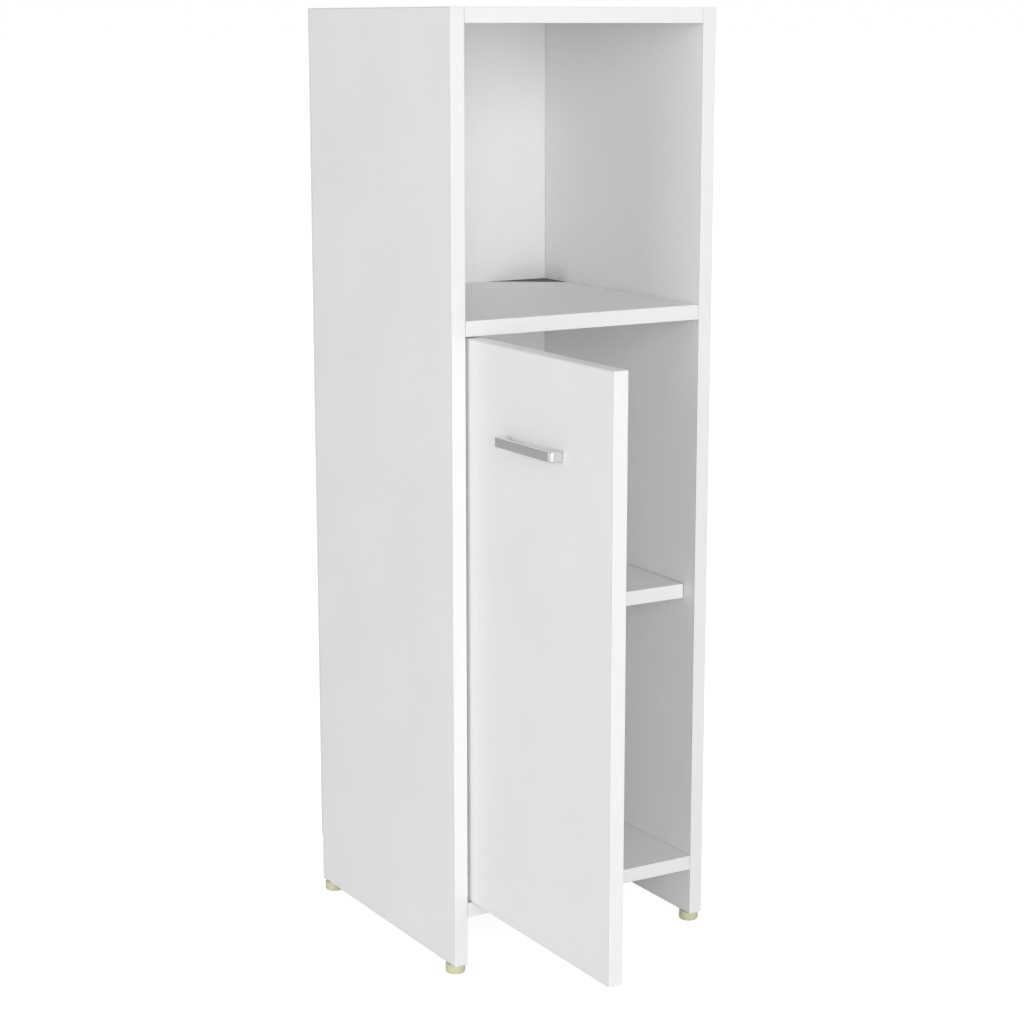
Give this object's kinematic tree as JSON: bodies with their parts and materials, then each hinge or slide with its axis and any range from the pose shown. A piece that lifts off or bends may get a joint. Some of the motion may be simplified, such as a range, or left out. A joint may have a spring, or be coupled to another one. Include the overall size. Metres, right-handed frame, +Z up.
{
  "type": "bathroom vanity cabinet",
  "caption": "Tall narrow bathroom cabinet with an open compartment above, an inset hinged door with a bar handle, a loose shelf behind it and small round feet.",
  "frame": {"origin": "on the floor, midway between the outer faces of the two sides, and midway between the free edge of the door standing open at a right angle and the rear face of the back", "axes": "+X to the right as seen from the front, +Y towards the wall behind, +Z up"},
  "size_m": [0.305, 0.5528, 0.95],
  "materials": {
    "white_board": "white melamine-faced chipboard with matching edge band, satin",
    "hardboard": "white painted hardboard, matt",
    "chrome_handle": "bright chrome plate",
    "nickel_plated_steel": "nickel plate, satin",
    "zinc_plated_steel": "zinc plate, dull",
    "spring_steel": "oiled spring steel",
    "beech_dowel": "fluted beech",
    "foot_plastic": "moulded polypropylene",
    "cap_plastic": "dark grey moulded polypropylene"
  },
  "bodies": {
    "cabinet": {"back_panel": "hardboard", "bottom_panel": "white_board", "cam_bottom_left_back": "zinc_plated_steel", "cam_bottom_left_front": "zinc_plated_steel", "cam_bottom_right_back": "zinc_plated_steel", "cam_bottom_right_front": "zinc_plated_steel", "cam_shelf_left_back": "zinc_plated_steel", "cam_shelf_left_front": "zinc_plated_steel", "cam_shelf_right_back": "zinc_plated_steel", "cam_shelf_right_front": "zinc_plated_steel", "cam_top_left_back": "zinc_plated_steel", "cam_top_left_front": "zinc_plated_steel", "cam_top_right_back": "zinc_plated_steel", "cam_top_right_front": "zinc_plated_steel", "cap_screw": "zinc_plated_steel", "dowel_bottom_left": "beech_dowel", "dowel_bottom_right": "beech_dowel", "dowel_shelf_left": "beech_dowel", "dowel_shelf_right": "beech_dowel", "dowel_top_left": "beech_dowel", "dowel_top_right": "beech_dowel", "fixed_shelf": "white_board", "foot_left_back": "foot_plastic", "foot_left_front": "foot_plastic", "foot_right_back": "foot_plastic", "foot_right_front": "foot_plastic", "left_side_panel": "white_board", "loose_shelf": "white_board", "lower_arm_screw": "zinc_plated_steel", "lower_hinge_arm": "nickel_plated_steel", "lower_hinge_plate": "nickel_plated_steel", "lower_plate_screw_1": "zinc_plated_steel", "lower_plate_screw_2": "zinc_plated_steel", "right_side_panel": "white_board", "shelf_corner_cap": "cap_plastic", "shelf_pin_left_back": "zinc_plated_steel", "shelf_pin_left_front": "zinc_plated_steel", "shelf_pin_right_back": "zinc_plated_steel", "shelf_pin_right_front": "zinc_plated_steel", "top_panel": "white_board", "upper_arm_screw": "zinc_plated_steel", "upper_hinge_arm": "nickel_plated_steel", "upper_hinge_plate": "nickel_plated_steel", "upper_plate_screw_1": "zinc_plated_steel", "upper_plate_screw_2": "zinc_plated_steel"},
    "door": {"door_handle": "chrome_handle", "door_panel": "white_board", "handle_screw_1": "zinc_plated_steel", "handle_screw_2": "zinc_plated_steel", "lower_cup_screw_1": "zinc_plated_steel", "lower_cup_screw_2": "zinc_plated_steel", "lower_hinge_cup": "nickel_plated_steel", "lower_hinge_pin": "zinc_plated_steel", "lower_hinge_spring": "spring_steel", "upper_cup_screw_1": "zinc_plated_steel", "upper_cup_screw_2": "zinc_plated_steel", "upper_hinge_cup": "nickel_plated_steel", "upper_hinge_pin": "zinc_plated_steel", "upper_hinge_spring": "spring_steel"}
  },
  "joints": [
    {"name": "door_hinge", "type": "hinge", "parent": "cabinet", "child": "door", "pos_m": [-0.126, -0.0179, 0.359], "axis": [0, 0, 1], "range_deg": [-5, 90]}
  ]
}
